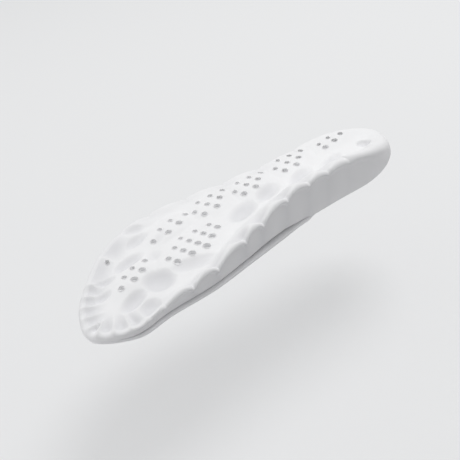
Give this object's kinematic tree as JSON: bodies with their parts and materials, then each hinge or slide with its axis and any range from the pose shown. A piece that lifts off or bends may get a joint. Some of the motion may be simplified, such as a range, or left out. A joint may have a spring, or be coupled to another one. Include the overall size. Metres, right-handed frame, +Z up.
{
  "type": "cushioned insole",
  "caption": "Right-foot shoe insole of moulded soft foam with a heel cup, raised arch, lobed rim and ventilated pads on a thin base layer.",
  "frame": {"origin": "centre of the insole's box in plan, on the underside of the base layer", "axes": "+X towards the toe, +Y towards the arch side of the foot, +Z up to the foot"},
  "size_m": [0.2606, 0.0822, 0.0288],
  "materials": {
    "cushion_foam": "matte",
    "base_foam": "matte"
  },
  "bodies": {
    "root": {"cushion_body": "cushion_foam", "base_layer": "base_foam"}
  },
  "joints": []
}
